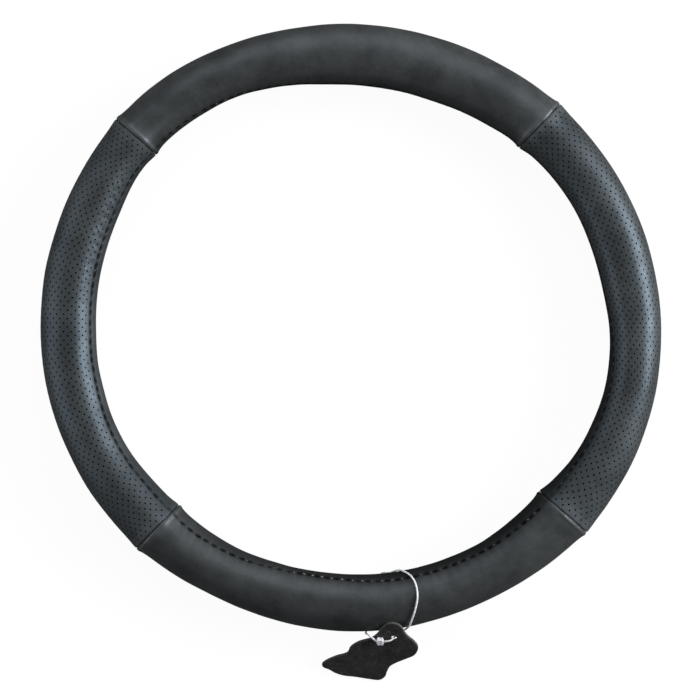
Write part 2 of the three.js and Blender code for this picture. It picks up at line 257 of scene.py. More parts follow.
def apart(a, b):
    return np.abs(np.mod(a - b + 180, 360) - 180)


def smoothstep(value, low, high):
    k = np.clip((value - low) / (high - low), 0, 1)
    return k * k * (3 - 2 * k)


def hill(distance, width):
    """1 at no distance, and falling away on both sides."""
    return np.exp(-((distance / width) ** 2))


def round_about(direction, place):
    """1 in a place's direction, and falling away over its reach."""
    return hill(apart(direction, place[0]), place[1])


def slice_at(direction):
    """The ring's section in each direction."""
    direction = np.asarray(direction, float)
    mean = (RING_LONG + RING_SHORT) / 4
    oval = (RING_LONG - RING_SHORT) / 4
    edge = mean + oval * np.cos(2 * np.radians(direction - LONG_DIRECTION))
    half_width = (SECTION_WIDTH + along(EXTRA_WIDTH, direction)) / 2
    middle = edge + along(EDGE_SHIFT, direction) - half_width
    from_lift = apart(direction, LIFT_DIRECTION)
    floor = LIFT * (1 - smoothstep(from_lift, LIFT_FLAT, LIFT_FLAT + LIFT_RUN))
    front_lip = along(FRONT_LIP, direction)
    return {
        "direction": direction,
        "half_width": half_width,
        "middle": middle,
        "floor": floor,
        "height": floor + HALF_HEIGHT * math.cos(math.radians(FOOT_TURN)),
        "front_lip": front_lip,
        "rear_lip": front_lip + 360 - MOUTH_TURN,
    }


def upright(ring, radius, height):
    angle = np.radians(ring["direction"])
    return np.stack([radius * np.cos(angle), radius * np.sin(angle), height], axis=-1)


def on_section(ring, turn, depth):
    """A point that is depth under the leather's face."""
    turn = np.radians(turn)
    radius = ring["middle"] - (ring["half_width"] - depth) * np.cos(turn)
    height = ring["height"] + (HALF_HEIGHT - depth) * np.sin(turn)
    return upright(ring, radius, height)


def around_lip(ring, turn, side, reach, swing):
    """A point that is reach from the middle of a lip. Swing 0 faces outward, 90 into the
    mouth and 180 inward. Side is -1 at the front lip and 1 at the rear one."""
    c, s = np.cos(np.radians(turn)), np.sin(np.radians(turn))
    out = reach * np.cos(np.radians(swing))
    over = side * reach * np.sin(np.radians(swing))
    radius = ring["middle"] - (ring["half_width"] - LIP_DEPTH) * c - out * c + over * s
    height = ring["height"] + (HALF_HEIGHT - LIP_DEPTH) * s + out * s + over * c
    return upright(ring, radius, height)


def on_leather(direction, station, depth):
    """A point on the leather's path across the ring, depth under its face."""
    ring = slice_at(direction)
    span = ring["rear_lip"] - ring["front_lip"]
    hem_depth = LIP_DEPTH + LIP_REACH - depth
    reach = LIP_REACH - depth
    front_swing = 180 * (1 - (station - FRONT_LIP_START) / LIP_ARC)
    rear_swing = 180 * (station - FACE_END) / LIP_ARC
    parts = [
        (station < FRONT_LIP_START,
         on_section(ring, ring["front_lip"] + HEM_TURN * (1 - station / HEM), hem_depth)),
        (station < FACE_START, around_lip(ring, ring["front_lip"], -1, reach, front_swing)),
        (station <= FACE_END,
         on_section(ring, ring["front_lip"] + span * (station - FACE_START) / FACE_ARC, depth)),
        (station < REAR_LIP_END, around_lip(ring, ring["rear_lip"], 1, reach, rear_swing)),
    ]
    last = on_section(ring, ring["rear_lip"] - HEM_TURN * (station - REAR_LIP_END) / HEM, hem_depth)
    points = np.select([where[:, None] for where, _ in parts], [spot for _, spot in parts], last)
    points[:, 2] = np.maximum(points[:, 2], ring["floor"])
    return points


# Leather

def ripples(across, along_ring, kind, more=0):
    """Soft unevenness of one kind, from -1 to 1."""
    size, seed = UNEVEN[kind]
    draw = random.Random(seed + more)
    total = np.zeros_like(across)
    waves = 7
    shortest, longest = 0.7, 1.5
    for _ in range(waves):
        heading = draw.uniform(0, math.pi)
        pace = 2 * math.pi / (size * draw.uniform(shortest, longest))
        phase = draw.uniform(0, 2 * math.pi)
        total += np.sin(pace * (across * math.cos(heading) + along_ring * math.sin(heading)) + phase)
    return total / waves


def one_way(place, kind, more=0):
    """Unevenness along one line only."""
    return ripples(place, 0 * place, kind, more)


def stitch_directions(start, end, seed):
    """Needle holes along one lip of a panel."""
    draw = random.Random(seed)
    inner = slice_at(start)["middle"] - HALF_HEIGHT
    count = round(math.radians(end - start) * float(inner) / STITCH_PITCH)
    pitch = (end - start) / count
    drift = math.degrees(STITCH_DRIFT / MEAN_RADIUS)
    return [start + pitch * (i + 0.5) + draw.uniform(-drift, drift) for i in range(count)]


PANELS = {
    "top": (SEAMS[0], SEAMS[1]),
    "left": (SEAMS[1], SEAMS[2]),
    "bottom": (SEAMS[2], SEAMS[3]),
    "right": (SEAMS[3], SEAMS[0] + 360),
}
needle_holes = {
    name: {
        side: stitch_directions(start, end, seed + i) for side, seed in NEEDLE_DRAWS.items()
    }
    for i, (name, (start, end)) in enumerate(PANELS.items())
}


def drawn_in(direction, station, holes, line, side, gathered, reach):
    """How far the stitches of one lip pull the leather in, and its gathers push it out.
    Side is 1 where the face lies past the line, and -1 before it. The gathers are gathered
    high and run reach into the face. Beyond the stitches the leather swells."""
    holes = np.array(holes)
    pitch = (holes[-1] - holes[0]) / (len(holes) - 1)
    radius = slice_at(direction)["middle"] - HALF_HEIGHT
    after = np.clip(np.searchsorted(holes, direction), 1, len(holes) - 1)
    before = after - 1
    nearest = np.where(direction - holes[before] < holes[after] - direction, before, after)
    aside = np.radians(direction - holes[nearest]) * radius
    phase = (direction - holes[nearest]) / pitch
    hole_by_hole = 7 * holes[nearest]
    across = (station - line) * side + STITCH_STRAY * one_way(hole_by_hole, "stray")
    lively = 0.75 + 0.5 * one_way(direction * 3, "gathers")
    tugged = 1 + 0.85 * one_way(hole_by_hole, "tug")
    tight = 0.75 + 0.75 * round_about(direction, TIGHTEST)
    dents = STITCH_DEPTH * tight * tugged * hill(aside, DENT_LENGTH) * hill(across, DENT_WIDTH)
    groove = GROOVE_DEPTH * hill(across, GROOVE_WIDTH)
    hem_side = 2.2
    fade = np.exp(-np.maximum(across, 0) / reach) * hill(np.minimum(across, 0), hem_side)
    leaning = phase + 0.05 * across * one_way(direction * 2, "lean")
    gathers = gathered * lively * np.cos(2 * math.pi * leaning) * fade
    swell = SWELL_HEIGHT * hill(across - SWELL_AT, SWELL_WIDTH)
    return -dents - groove - gathers + swell


def front_line(direction):
    return FRONT_STITCHES + along(EXTRA_INSET, direction)


def rear_line(direction):
    return REAR_STITCHES + 0 * direction


def drawn_up(direction, station):
    """Where the leather's own lines lie, as they follow the front stitches up the face."""
    near, far = 3, 45
    rise = np.clip((station - FACE_START) / (FRONT_STITCHES - FACE_START), 0, 1)
    fall = smoothstep(station, FRONT_STITCHES + near, FRONT_STITCHES + far)
    return station + along(EXTRA_INSET, direction) * rise * (1 - fall)


def leather_relief(name, direction, station):
    """How far the leather's face stands out from the plain section."""
    start, end = PANELS[name]
    smooth = name in ("top", "bottom")
    ring = slice_at(direction)
    from_end = np.minimum(direction - start, end - direction)
    to_seam = np.radians(from_end) * ring["middle"] - SEAM_GAP / 2
    around = np.radians(direction) * MEAN_RADIUS
    relief = SEAM_SWELL * hill(to_seam, SEAM_REACH)
    if smooth:
        relief += SEAM_RIDGE * hill(to_seam - RIDGE_AT, RIDGE_WIDTH)
    pull = 2 * math.pi * station / PULL_PITCH + 3 * one_way(station, "pull")
    relief += PULL_HEIGHT * np.exp(-to_seam / PULL_REACH) * np.sin(pull)
    relief += WAVE_HEIGHT * ripples(station, around, "waves", len(name))
    dimples = SMOOTH_DIMPLES if smooth else PIERCED_DIMPLES
    relief += dimples * ripples(station, around, "dimples", len(name))
    tucks = 0.5 + 0.5 * np.cos(2 * math.pi * station / SEAM_PITCH)
    relief -= TUCK_DEPTH * hill(to_seam - TUCK_AT, TUCK_WIDTH) * tucks
    crumpled = round_about(direction, CRUMPLED)
    creased = hill(station - front_line(direction) - CREASES_AT, CREASES_WIDTH)
    slanted = around + 0.7 * station
    relief += CREASE_HEIGHT * crumpled * creased * ripples(station * 0.35, slanted, "creases")
    gathered, reach = SMOOTH_GATHERS if smooth else PIERCED_GATHERS
    if not smooth:
        gathered = gathered + CRUMPLED_GATHERS * crumpled
    for side, line, face_side in (("front", front_line, 1), ("rear", rear_line, -1)):
        holes = needle_holes[name][side]
        relief += drawn_in(direction, station, holes, line(direction), face_side, gathered, reach)
    rolled = np.clip(SEAM_ROLL - to_seam, 0, SEAM_ROLL)
    roll = SEAM_ROLL - np.sqrt(np.maximum(SEAM_ROLL ** 2 - rolled ** 2, 0))
    return relief - roll


def sway(direction, station):
    """How far the seams stray along their length, in degrees, and the leather with them."""
    strayed = 0 * station
    for index, seam in enumerate(SEAMS):
        from_seam = np.radians(apart(direction, seam)) * MEAN_RADIUS
        strayed += hill(from_seam, SWAY_REACH) * one_way(station, "sway", index)
    return np.degrees(SEAM_SWAY * strayed / MEAN_RADIUS)


def on_panel(name, direction, station, depth):
    """A point of a sewn panel, depth under its face."""
    raised = leather_relief(name, direction, station) * (1 - depth / LEATHER)
    return on_leather(direction + sway(direction, station), station, depth - raised)


def facing(name, direction, station):
    """Which way a sewn panel's face looks, with no regard to its holes."""
    step = 0.06
    turn = math.degrees(step / MEAN_RADIUS)

    def face(over, on):
        return on_panel(name, direction + on, station + over, 0)

    normal = np.cross(face(step, 0) - face(-step, 0), face(0, turn) - face(0, -turn))
    return normal / np.maximum(np.linalg.norm(normal, axis=1, keepdims=True), 1e-9)


def cut_panel(columns, rows):
    """A flat sheet of leather, one unit to a column or row, with its face up."""
    sheet = bmesh.new()
    bmesh.ops.create_grid(sheet, x_segments=columns, y_segments=rows, size=0.5)
    bmesh.ops.translate(sheet, verts=sheet.verts, vec=(0.5, 0.5, 0))
    bmesh.ops.scale(sheet, verts=sheet.verts, vec=(columns, rows, 1))
    bmesh.ops.solidify(sheet, geom=sheet.faces[:], thickness=LEATHER)
    return sheet


def pierce(sheet, cells, first_column, first_row, last_row):
    """Holes in every other cell of the sheet's face, in staggered rows."""
    pierced = []
    for face in sheet.faces:
        centre = face.calc_center_median()
        column = math.floor(centre.x)
        row = math.floor(centre.y)
        inside = first_column <= column < first_column + cells and first_row <= row < last_row
        if face.normal.z > 0.9 and inside and (column + row) % 2 == 0:
            pierced.append(face)
    return pierced


def to_scale(sheet, column_lines, row_lines):
    """Gives the flat sheet's columns and rows their real places, in millimetres."""
    for vert in sheet.verts:
        vert.co.x = column_lines[round(vert.co.x)]
        vert.co.y = row_lines[round(vert.co.y)]


def spread(*spans):
    """Lines at even steps through spans of (end, steps), from 0."""
    lines = [0.0]
    for end, steps in spans:
        start = lines[-1]
        lines += [start + (end - start) * (i + 1) / steps for i in range(steps)]
    return lines


def new_object(name, mesh):
    piece = bpy.data.objects.new(name, mesh)
    bpy.context.scene.collection.objects.link(piece)
    return piece


def mesh_of(name, shape):
    mesh = bpy.data.meshes.new(name)
    shape.normal_update()
    shape.to_mesh(mesh)
    shape.free()
    return mesh


def smoothed(mesh, levels):
    """The mesh with its subdivision applied."""
    piece = new_object("blank", mesh)
    modifier = piece.modifiers.new("Subdivision", "SUBSURF")
    modifier.levels = levels
    modifier.render_levels = levels
    graph = bpy.context.evaluated_depsgraph_get()
    result = bpy.data.meshes.new_from_object(piece.evaluated_get(graph))
    bpy.data.objects.remove(piece)
    bpy.data.meshes.remove(mesh)
    return result


def places_of(mesh):
    places = np.empty(3 * len(mesh.vertices))
    mesh.vertices.foreach_get("co", places)
    return places.reshape(-1, 3)


def put_places(mesh, places):
    mesh.vertices.foreach_set("co", (places * MM).ravel())
    mesh.update()


def mark(mesh, name, amounts):
    layer = mesh.attributes.new(name, "FLOAT", "POINT")
    layer.data.foreach_set("value", np.asarray(amounts, float).ravel())


def shade_smooth(mesh):
    mesh.polygons.foreach_set("use_smooth", [True] * len(mesh.polygons))


def panel(name, pierced, materials):
    """One leather panel: cut flat, pierced, then wrapped round the ring and gathered."""
    start, end = PANELS[name]
    gap = SEAM_GAP / 2
    length = math.radians(end - start) * MEAN_RADIUS - 2 * gap
    edge = 1.7
    edge_steps = 4
    body_steps, face_steps = (HOLE_COLUMNS, HOLE_ROWS) if pierced else (150, 44)
    columns = spread((edge, edge_steps), (length - edge, body_steps), (length, edge_steps))
    shoulder = 2.8
    hem_steps, lip_steps, inset_steps, shoulder_steps = 2, 5, 3, 2
    first_row = hem_steps + lip_steps + inset_steps + shoulder_steps
    rows = spread(
        (FRONT_LIP_START, hem_steps), (FACE_START, lip_steps), (FRONT_STITCHES, inset_steps),
        (FRONT_STITCHES + shoulder, shoulder_steps), (REAR_STITCHES - shoulder, face_steps),
        (REAR_STITCHES, shoulder_steps), (FACE_END, inset_steps), (REAR_LIP_END, lip_steps),
        (PATH_END, hem_steps),
    )
    sheet = cut_panel(len(columns) - 1, len(rows) - 1)
    holes = []
    if pierced:
        holes = pierce(sheet, HOLE_COLUMNS, edge_steps, first_row, first_row + HOLE_ROWS)
    to_scale(sheet, columns, rows)
    if pierced:
        bmesh.ops.inset_individual(
            sheet, faces=holes, thickness=HOLE_CELL_INSET, depth=0, use_even_offset=True)
        walls = bmesh.ops.inset_individual(
            sheet, faces=holes, thickness=HOLE_WALL, depth=-HOLE_DEPTH, use_even_offset=True)
        for face in holes + walls["faces"]:
            face.material_index = 1
    mesh = smoothed(mesh_of(name + "_leather", sheet), 1)
    places = places_of(mesh)
    direction = start + np.degrees((places[:, 0] + gap) / MEAN_RADIUS)
    station = drawn_up(direction, places[:, 1])
    depth = np.clip(-places[:, 2], 0, LEATHER)
    relief = leather_relief(name, direction, station)
    put_places(mesh, on_panel(name, direction, station, depth))
    mesh.flip_normals()
    ring = slice_at(direction)
    to_seam = np.radians(np.minimum(direction - start, end - direction)) * ring["middle"]
    seam_shade, stitch_shade, face_depth = 2.5, 1.9, 0.35
    # near_seam drives painted shade in the seams' grooves.
    mark(mesh, "near_seam", np.exp(-to_seam / seam_shade))
    # sunk drives painted shade in the stitches' dents, the grooves and the seam tucks.
    mark(mesh, "sunk", np.clip(-relief, 0, 1))
    mark(mesh, "raised", np.clip(relief, 0, 1))
    # lip drives painted shade round the lips and along the stitch rows, lifted on the left panel's lip,
    # which faces the light.
    past = np.maximum(front_line(direction) - station, station - rear_line(direction))
    shaded = smoothstep(past, -9, 4) * (1 - 0.8 * round_about(direction, LIP_SHADE_LIFTED))
    mark(mesh, "lip", np.maximum(shaded, 0.65 * hill(past, stitch_shade)))
    shade_smooth(mesh)
    normals = np.empty(3 * len(mesh.vertices))
    mesh.vertices.foreach_get("normal", normals)
    on_face = (depth < face_depth)[:, None]
    normals = np.where(on_face, facing(name, direction, station), normals.reshape(-1, 3))
    mesh.normals_split_custom_set_from_vertices(normals.tolist())
    piece = new_object(name + "_leather", mesh)
    for material in materials:
        mesh.materials.append(material)
    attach(piece, "root")
    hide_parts(name + "_panel")
    return piece


# Thread

def thread_row(name, side, line, material):
    """The stitches along one lip, each lying between two of the needle's dents. They are made
    in a row, apart from each other, and then laid on the leather."""
    apart_by = 100
    shape = bmesh.new()
    middles = []
    for panel_name in PANELS:
        pricked = needle_holes[panel_name][side]
        middles += [(a + b) / 2 for a, b in zip(pricked, pricked[1:])]
    for index in range(len(middles)):
        made = bmesh.ops.create_uvsphere(shape, u_segments=8, v_segments=7, radius=0.5)
        bmesh.ops.rotate(
            shape, verts=made["verts"], cent=(0, 0, 0),
            matrix=Matrix.Rotation(math.pi / 2, 3, "Y"))
        bmesh.ops.scale(
            shape, verts=made["verts"], vec=(THREAD_LENGTH, THREAD_WIDTH, THREAD_HEIGHT))
        bmesh.ops.translate(shape, verts=made["verts"], vec=(apart_by * index, 0, 0))
    mesh = mesh_of(name, shape)
    places = places_of(mesh)
    which = np.rint(places[:, 0] / apart_by).astype(int)
    aside = places[:, 0] - apart_by * which
    middle = np.array(middles)[which]
    radius = slice_at(middle)["middle"] - HALF_HEIGHT
    draw = random.Random(len(name))
    slant = np.array([draw.uniform(0.0, 0.4) for _ in middles])[which]
    sunk = np.array([draw.uniform(0.1, 0.4) for _ in middles])[which]
    direction = middle + np.degrees(aside / radius)
    station = line(middle) + places[:, 1] + slant * aside
    sag = THREAD_SAG * (aside / (THREAD_LENGTH / 2)) ** 2
    put_places(mesh, on_leather(direction, station, sunk + sag - places[:, 2]))
    mesh.flip_normals()
    # Painted highlight: the stitches round one direction on the bottom panel are painted pale, standing
    # in for light catching them.
    mark(mesh, "painted_thread_highlight", round_about(middle, THREAD_HIGHLIGHT))
    shade_smooth(mesh)
    piece = new_object(name, mesh)
    mesh.materials.append(material)
    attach(piece, "root")
    return piece


# Rubber carrier

def carrier(material):
    """The moulded rubber carrier, ribbed on the side that grips the wheel's rim."""
    columns, rows = 720, 60
    rib_count, rib_height = 144, 0.3
    shape = bmesh.new()
    bmesh.ops.create_grid(shape, x_segments=columns, y_segments=rows, size=0.5)
    bmesh.ops.solidify(shape, geom=shape.faces[:], thickness=1)
    ends = [face for face in shape.faces if abs(face.normal.x) > 0.9]
    bmesh.ops.delete(shape, geom=ends, context="FACES_ONLY")
    mesh = mesh_of("rubber_carrier", shape)
    places = places_of(mesh)
    direction = 360 * (places[:, 0] + 0.5)
    ring = slice_at(direction)
    turn = ring["front_lip"] + (places[:, 1] + 0.5) * (ring["rear_lip"] - ring["front_lip"])
    inward = np.clip(-places[:, 2], 0, 1)
    ribs = rib_height * np.maximum(np.cos(2 * math.pi * rib_count * direction / 360), 0)
    depth = LEATHER + FIT + inward * (RUBBER + ribs)
    put_places(mesh, on_section(ring, turn, depth))
    joined = bmesh.new()
    joined.from_mesh(mesh)
    bmesh.ops.remove_doubles(joined, verts=joined.verts, dist=1e-6)
    bmesh.ops.recalc_face_normals(joined, faces=joined.faces)
    joined.to_mesh(mesh)
    joined.free()
    shade_smooth(mesh)
    piece = new_object("rubber_carrier", mesh)
    mesh.materials.append(material)
    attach(piece, "root")
    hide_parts("inner_ring")
    return piece


# Tag

def near_ring(turn, shift, clear):
    """A point clear off the section's face and shift along the ring from the loop."""
    middle = float(slice_at(LOOP_DIRECTION)["middle"])
    ring = slice_at(LOOP_DIRECTION + math.degrees(shift / middle))
    return Vector(on_section(ring, turn, -clear))


def tag_axes():
    """The tag's corner and its axes: along its lower edge, up its slope and out of its face."""
    tip = near_ring(TIP_TURN, TIP_SHIFT, TIP_ROOM)
    lean = math.asin(tip.z / TAG_TIP[1])
    downhill = math.radians(TAG_BEARING)
    s = Vector((-math.sin(downhill), math.cos(downhill), 0))
    level = Vector((-math.cos(downhill), -math.sin(downhill), 0))
    t = level * math.cos(lean) + Vector((0, 0, math.sin(lean)))
    return tip - s * TAG_TIP[0] - t * TAG_TIP[1], s, t, s.cross(t)


def on_tag(s, t, h):
    corner, along_edge, up_slope, out = tag_axes()
    return corner + along_edge * s + up_slope * t + out * h


def smooth_route(points, samples, closed=False):
    """Points along a centripetal curve through the given ones."""
    count = len(points)
    route = []
    for i in range(count if closed else count - 1):
        if closed:
            four = [points[(i + j) % count] for j in (-1, 0, 1, 2)]
        else:
            before = points[i - 1] if i else points[0] * 2 - points[1]
            after = points[i + 2] if i + 2 < count else points[-1] * 2 - points[-2]
            four = [before, points[i], points[i + 1], after]
        d0, d1, d2 = ((four[j + 1] - four[j]).length ** 0.5 for j in range(3))
        leaving = (four[1] - four[0]) / d0 - (four[2] - four[0]) / (d0 + d1) + (four[2] - four[1]) / d1
        coming = (four[2] - four[1]) / d1 - (four[3] - four[1]) / (d1 + d2) + (four[3] - four[2]) / d2
        leaving *= d1
        coming *= d1
        for step in range(samples):
            k = step / samples
            route.append(
                four[1] * (2 * k ** 3 - 3 * k ** 2 + 1) + four[2] * (3 * k ** 2 - 2 * k ** 3)
                + leaving * (k ** 3 - 2 * k ** 2 + k) + coming * (k ** 3 - k ** 2))
    return route if closed else route + [points[-1]]


def leather_tag(materials):
    """The tag: cut to a hide's outline, a little cupped, with a punched hole."""
    shape = bmesh.new()
    outline = smooth_route([Vector((s, t, 0)) for s, t in TAG_OUTLINE], samples=5, closed=True)
    rim = [shape.verts.new(point) for point in outline]
    edges = [shape.edges.new((a, b)) for a, b in zip(rim, rim[1:] + rim[:1])]
    punched = bmesh.ops.create_circle(shape, segments=20, radius=HOLE_DIAMETER / 2)
    bmesh.ops.translate(shape, verts=punched["verts"], vec=(HOLE[0], HOLE[1], 0))
    edges += list({edge for vert in punched["verts"] for edge in vert.link_edges})
    bmesh.ops.triangle_fill(shape, edges=edges, use_beauty=True)
    # Cut into cells, so that it can be cupped
    cell = 2
    for axis, low, high in ((0, -38, 17), (1, 2, 50)):
        normal = [0, 0, 0]
        normal[axis] = 1
        for place in range(low, high, cell):
            cut = [0, 0, 0]
            cut[axis] = place
            geometry = shape.verts[:] + shape.edges[:] + shape.faces[:]
            bmesh.ops.bisect_plane(shape, geom=geometry, dist=1e-4, plane_co=cut, plane_no=normal)
    bmesh.ops.remove_doubles(shape, verts=shape.verts, dist=0.02)
    bmesh.ops.recalc_face_normals(shape, faces=shape.faces)
    for face in shape.faces:
        if face.normal.z < 0:
            face.normal_flip()
    bmesh.ops.solidify(shape, geom=shape.faces[:], thickness=TAG_LEATHER)
    shape.normal_update()
    for face in shape.faces:
        face.material_index = 1 if abs(face.normal.z) < 0.5 else 0
    sharp = [
        edge for edge in shape.edges
        if len(edge.link_faces) == 2 and edge.calc_face_angle() > 1
    ]
    bmesh.ops.bevel(
        shape, geom=sharp, offset=TAG_BEVEL, affect="EDGES", segments=2, profile=0.5, material=1)
    mesh = mesh_of("suede_tag", shape)
    places = places_of(mesh)
    corner, along_edge, up_slope, out = (np.array(axis) for axis in tag_axes())
    s, t = places[:, 0], places[:, 1]
    height = TAG_LEATHER + places[:, 2]
    cupped = np.clip((t - 6) / 20, 0, 1) * np.clip((44 - t) / 12, 0, 1)
    height = height + TAG_CUP * (s - TAG_MIDDLE) ** 2 * cupped
    spots = corner + s[:, None] * along_edge + t[:, None] * up_slope + height[:, None] * out
    spots[:, 2] = np.maximum(spots[:, 2], 0)
    put_places(mesh, spots)
    shade_smooth(mesh)
    piece = new_object("suede_tag", mesh)
    for material in materials:
        mesh.materials.append(material)
    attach(piece, "root")
    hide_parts("tag_leather")
    return piece


def beside_lock(side):
    away = side * (LOCK_ALONG / 2 + FIT)
    turn = math.radians(LOCK_TURN)
    return on_tag(LOCK[0] + away * math.cos(turn), LOCK[1] + away * math.sin(turn), LOCK_HEIGHT)


def lock(material):
    """The loop's lock: a small moulded block with a waist and a collared stub at each end."""
    shape = bmesh.new()
    made = bmesh.ops.create_cube(shape, size=1)
    bmesh.ops.scale(shape, verts=made["verts"], vec=(LOCK_ALONG - 2 * LOCK_END, LOCK_ACROSS, LOCK_HIGH))
    ends = [face for face in shape.faces if abs(face.normal.x) > 0.9]
    bmesh.ops.inset_individual(shape, faces=ends, thickness=LOCK_COLLAR, depth=0)
    bmesh.ops.inset_individual(shape, faces=ends, thickness=LOCK_TAPER, depth=LOCK_END)
    for place in (-LOCK_WAIST, LOCK_WAIST):
        geometry = shape.verts[:] + shape.edges[:] + shape.faces[:]
        bmesh.ops.bisect_plane(
            shape, geom=geometry, dist=1e-4, plane_co=(place, 0, 0), plane_no=(1, 0, 0))
    waist = [face for face in shape.faces if abs(face.calc_center_median().x) < LOCK_WAIST / 2]
    bmesh.ops.inset_region(
        shape, faces=waist, thickness=LOCK_TAPER, depth=-WAIST_DEPTH, use_boundary=True)
    bmesh.ops.bevel(
        shape, geom=shape.edges[:], offset=LOCK_BEVEL, affect="EDGES", segments=2, profile=0.5,
        material=-1, clamp_overlap=True)
    mesh = mesh_of("loop_lock", shape)
    places = places_of(mesh)
    turn = math.radians(LOCK_TURN)
    corner, along_edge, up_slope, out = (np.array(axis) for axis in tag_axes())
    s = LOCK[0] + places[:, 0] * math.cos(turn) - places[:, 1] * math.sin(turn)
    t = LOCK[1] + places[:, 0] * math.sin(turn) + places[:, 1] * math.cos(turn)
    h = LOCK_HEIGHT + places[:, 2]
    put_places(mesh, corner + s[:, None] * along_edge + t[:, None] * up_slope + h[:, None] * out)
    piece = new_object("loop_lock", mesh)
    mesh.materials.append(material)
    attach(piece, "root")
    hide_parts("tag_lock")
    return piece


def loop(material):
    """The plastic loop, from the lock round the ring, up through the tag's hole and back."""
    radius = LOOP_DIAMETER / 2
    points = [
        beside_lock(1),
        *(on_tag(s, t, h) for s, t, h in LOOP_START),
        *(near_ring(turn, shift, gap + radius) for turn, shift, gap in LOOP_ROUND),
        *(on_tag(s, t, h) for s, t, h in LOOP_END),
        beside_lock(-1),
    ]
    for point in points:
        point.z = max(point.z, radius + LOOP_OFF_TABLE)
    route = [point * MM for point in smooth_route(points, samples=9)]
    line = bpy.data.curves.new("plastic_loop", "CURVE")
    line.dimensions = "3D"
    line.bevel_depth = radius * MM
    line.bevel_resolution = 4
    line.use_fill_caps = True
    spline = line.splines.new("POLY")
    spline.points.add(len(route) - 1)
    for spot, point in zip(spline.points, route):
        spot.co = (*point, 1)
    piece = new_object("plastic_loop", line)
    line.materials.append(material)
    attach(piece, "root")
    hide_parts("tag_string")
    return piece


# Finishes

def finish(name):
    material = bpy.data.materials.new(name)
    material.use_nodes = True
    tree = material.node_tree
    return material, tree, tree.nodes["Principled BSDF"]


def node(tree, kind, inputs=None, **settings):
    made = tree.nodes.new(kind)
    for key, value in settings.items():
        setattr(made, key, value)
    for key, value in (inputs or {}).items():
        if isinstance(value, bpy.types.NodeSocket):
            tree.links.new(value, made.inputs[key])
        else:
            made.inputs[key].default_value = value
    return made


def place_on(tree):
    return tree.nodes.new("ShaderNodeTexCoord").outputs["Object"]


def cloudy(tree, where, size, detail=3, roughness=0.5):
    """Noise whose patches are about size millimetres across."""
    made = node(tree, "ShaderNodeTexNoise", {
        "Vector": where, "Scale": 1 / (size * MM), "Detail": detail, "Roughness": roughness})
    return made.outputs["Fac"]


def pebbles(tree, where, size):
    made = node(tree, "ShaderNodeTexVoronoi", {
        "Vector": where, "Scale": 1 / (size * MM), "Smoothness": 0.7}, feature="SMOOTH_F1")
    return made.outputs["Distance"]


def scaled(tree, value, factor, plus=0.0):
    made = node(tree, "ShaderNodeMath", {0: value, 1: factor, 2: plus}, operation="MULTIPLY_ADD")
    return made.outputs[0]


def added(tree, a, b):
    return node(tree, "ShaderNodeMath", {0: a, 1: b}, operation="ADD").outputs[0]


def between(tree, amount, low, high, first, last):
    """A value from first to last as amount goes from low to high."""
    made = node(tree, "ShaderNodeMapRange", {
        "Value": amount, "From Min": low, "From Max": high, "To Min": first, "To Max": last})
    return made.outputs["Result"]


def toned(tree, amount, first, last):
    """A colour from first to last as amount goes from 0 to 1."""
    made = node(tree, "ShaderNodeMix", {0: amount}, data_type="RGBA")
    for key, value in ((6, first), (7, last)):
        if isinstance(value, bpy.types.NodeSocket):
            tree.links.new(value, made.inputs[key])
        else:
            made.inputs[key].default_value = (*value, 1)
    return made.outputs[2]


def attribute(tree, name):
    return node(tree, "ShaderNodeAttribute", attribute_name=name).outputs["Fac"]


def bump(tree, shader, height, depth):
    made = node(tree, "ShaderNodeBump", {"Height": height, "Distance": depth * MM})
    tree.links.new(made.outputs["Normal"], shader.inputs["Normal"])


